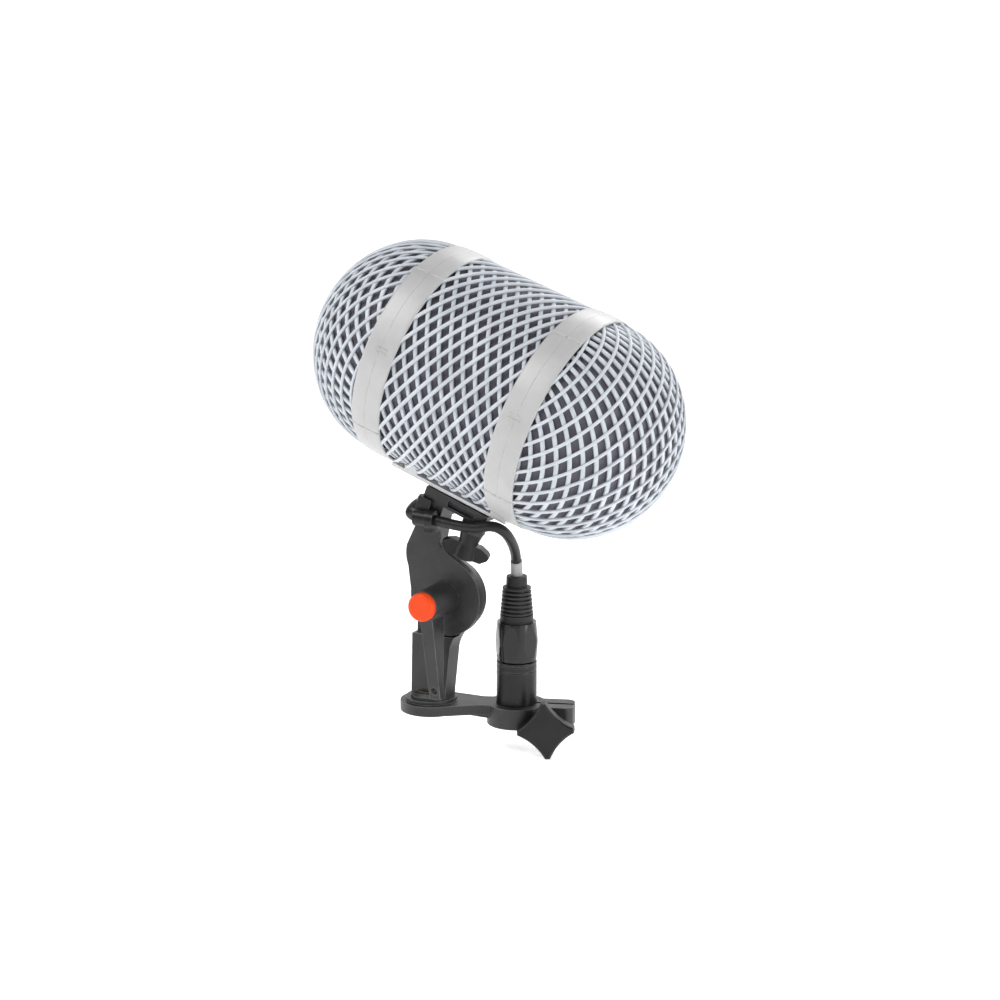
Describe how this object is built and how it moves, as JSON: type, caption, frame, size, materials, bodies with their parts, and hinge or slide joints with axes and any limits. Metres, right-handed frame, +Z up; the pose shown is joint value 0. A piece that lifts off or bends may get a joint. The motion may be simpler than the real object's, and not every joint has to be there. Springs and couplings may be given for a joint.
{
  "type": "basket windshield on swivel mount",
  "caption": "Lattice basket windshield with removable domed caps and inner microphone suspension, on a tilting neck and clip arm with a lead ending in a three-pin connector.",
  "frame": {"origin": "mouth of the boom thread, on the underside of the clip arm", "axes": "+X towards the nose of the basket, +Z up along the stem, +Y to the left seen from behind"},
  "size_m": [0.176, 0.103, 0.2374],
  "materials": {
    "net": "satin moulded net, pale blue grey",
    "lining": "fine dark woven lining",
    "band": "satin moulded, light warm grey",
    "rail_metal": "satin anodised",
    "screw_steel": "zinc plated",
    "bar_plastic": "moulded black",
    "lyre_plastic": "black springy polymer",
    "cast_black": "fine grained black coat",
    "clamp_plastic": "black moulded",
    "knob_plastic": "black moulded",
    "washer_fibre": "friction disc",
    "button_orange": "orange red",
    "bush_brass": "turned",
    "shell_black": "satin black chrome-like coat",
    "nut_gloss": "glossy black",
    "insert_black": "moulded black",
    "pin_gold": "plated contact",
    "boot_rubber": "black ribbed",
    "cable_rubber": "black lead"
  },
  "bodies": {
    "mount": {"stem": "cast_black", "clip_arm": "cast_black", "thread_bush": "bush_brass", "pivot_bolt": "screw_steel", "pivot_nut": "screw_steel", "friction_washer": "washer_fibre", "connector_shell": "shell_black", "connector_insert": "insert_black", "connector_pins": "pin_gold", "connector_nut": "nut_gloss", "chuck": "insert_black", "cable_boot": "boot_rubber", "clip_bolt": "screw_steel", "clip_nut": "screw_steel", "tail_cable_lower": "cable_rubber"},
    "head": {"neck_arm": "cast_black", "shoe": "cast_black", "shoe_screws": "screw_steel", "cable_clamp": "clamp_plastic", "clamp_screw": "screw_steel", "clamp_stud": "screw_steel", "tail_cable_upper": "cable_rubber"},
    "pod": {"centre_basket": "net", "centre_lining": "lining", "front_body_ring": "band", "rear_body_ring": "band", "rail": "rail_metal", "rail_screws": "screw_steel", "suspension_bar": "bar_plastic", "front_lyre": "lyre_plastic", "rear_lyre": "lyre_plastic", "front_mic_clip": "bar_plastic", "rear_mic_clip": "bar_plastic", "inner_plug": "shell_black", "inner_plug_insert": "insert_black", "inner_cable": "cable_rubber", "cable_grommet": "boot_rubber"},
    "front_cap": {"front_cap_ring": "band", "front_cap_basket": "net", "front_cap_lining": "lining"},
    "rear_cap": {"rear_cap_ring": "band", "rear_cap_basket": "net", "rear_cap_lining": "lining"},
    "handle": {"lever": "cast_black", "lever_spring": "screw_steel"},
    "button": {"release_button": "button_orange"},
    "wing": {"wing_knob": "knob_plastic"},
    "star": {"star_knob": "knob_plastic"}
  },
  "joints": [
    {"name": "head_tilt", "type": "hinge", "parent": "mount", "child": "head", "pos_m": [0.0098, 0, 0.0562], "axis": [0, 1, 0], "range_deg": [-60, 15], "deforming": ["tail_cable_lower"]},
    {"name": "lever_turn", "type": "hinge", "parent": "mount", "child": "handle", "pos_m": [0.0098, 0, 0.0562], "axis": [0, 1, 0], "range_deg": [-75, 75]},
    {"name": "button_press", "type": "slide", "parent": "handle", "child": "button", "axis": [0, 1, 0], "range_m": [0, 0.003], "stiffness_N_per_m": 350, "deforming": ["lever_spring"]},
    {"name": "wing_turn", "type": "hinge", "parent": "head", "child": "wing", "pos_m": [0.02023, 0, 0.08294], "axis": [0.3502, 0, 0.9367], "continuous": true},
    {"name": "star_turn", "type": "hinge", "parent": "mount", "child": "star", "pos_m": [0.05891, 0.00335, -0.0033], "axis": [-0.342, 0.9397, 0], "continuous": true},
    {"name": "basket_slide", "type": "slide", "parent": "head", "child": "pod", "axis": [0.9367, 0, -0.3502], "range_m": [-0.004, 0.008], "deforming": ["tail_cable_upper"]},
    {"name": "front_cap_slide", "type": "slide", "parent": "pod", "child": "front_cap", "axis": [0.9367, 0, -0.3502], "range_m": [0, 0.05]},
    {"name": "rear_cap_slide", "type": "slide", "parent": "pod", "child": "rear_cap", "axis": [-0.9367, 0, 0.3502], "range_m": [0, 0.05]}
  ]
}
